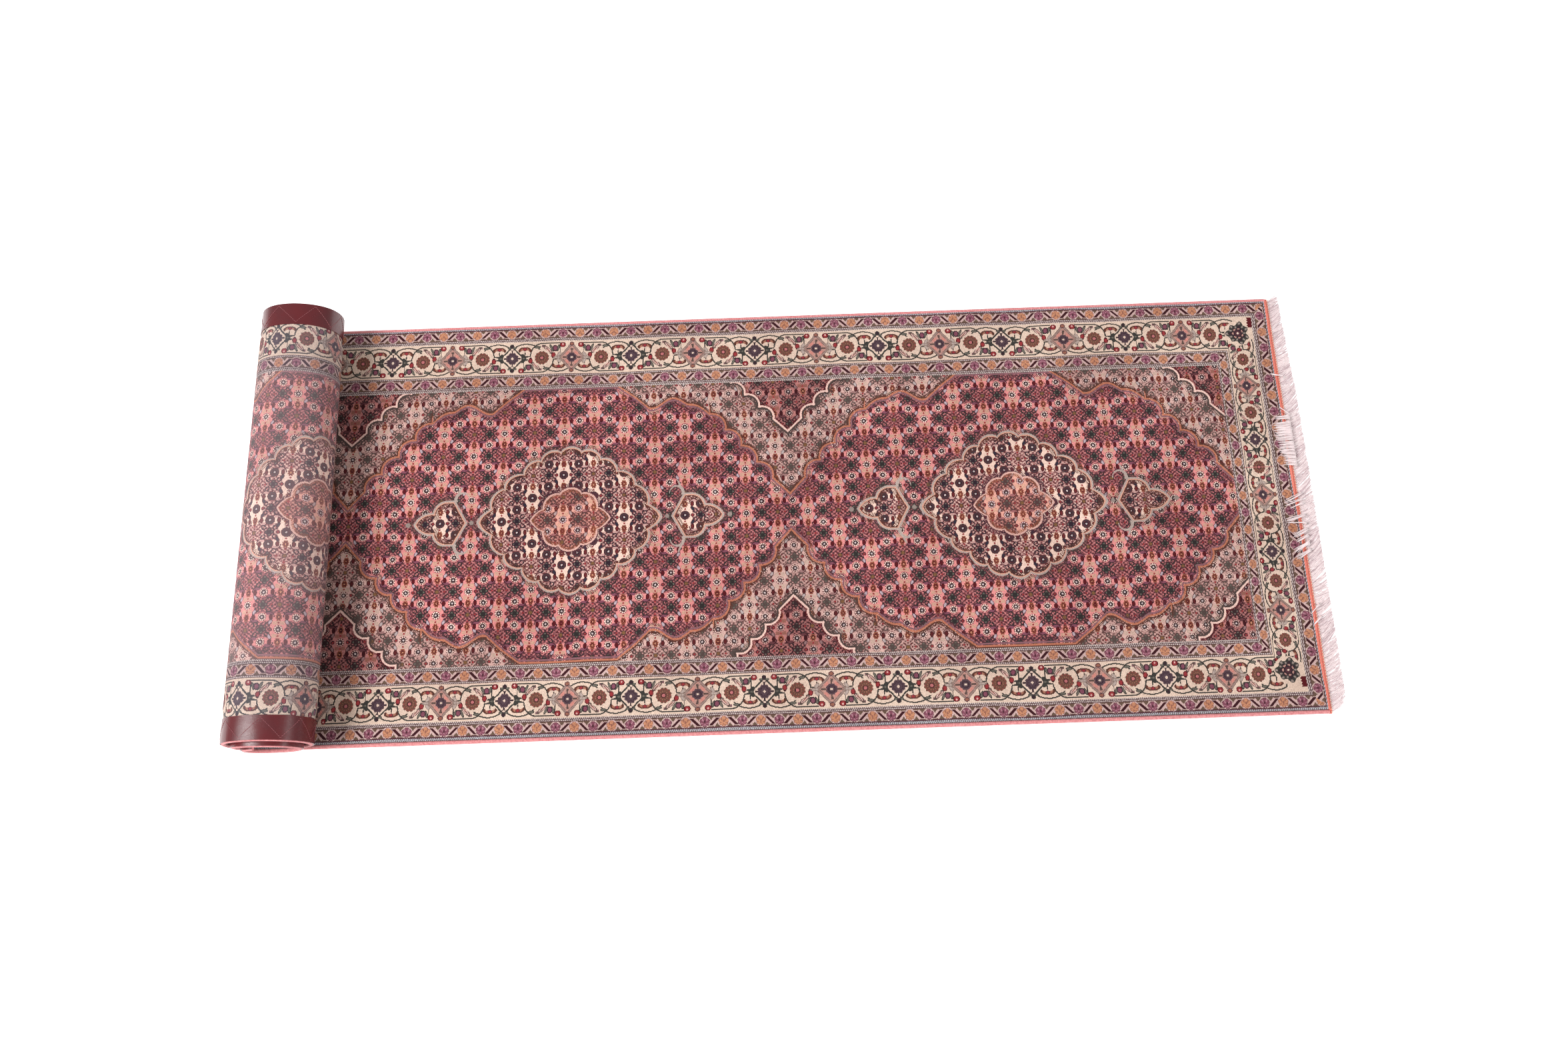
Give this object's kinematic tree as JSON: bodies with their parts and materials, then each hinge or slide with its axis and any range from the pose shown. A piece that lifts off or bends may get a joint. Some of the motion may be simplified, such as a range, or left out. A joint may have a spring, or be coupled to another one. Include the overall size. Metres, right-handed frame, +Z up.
{
  "type": "rolled tabriz rug",
  "caption": "Narrow knotted runner lying pile up with one end rolled, pile inside, leather strips sewn under its long edges and a white fringe at its open end.",
  "frame": {"origin": "middle of the outline on the floor", "axes": "+X along the rug towards its fringed end, with the roll at -X; +Z up from the floor"},
  "size_m": [1.9506, 0.8152, 0.1334],
  "materials": {
    "wool_pile": "short wool pile, patterned",
    "pink_wool": "overcast wool cord",
    "red_leather": "glossy, smooth, zigzag stitched",
    "coral_wool": "flat-woven end band",
    "white_cotton": "loose cotton yarn"
  },
  "bodies": {
    "root": {"rug": "wool_pile", "selvedge_near": "pink_wool", "selvedge_far": "pink_wool", "leather_near": "red_leather", "leather_far": "red_leather", "heading": "coral_wool", "fringe": "white_cotton"}
  },
  "joints": []
}
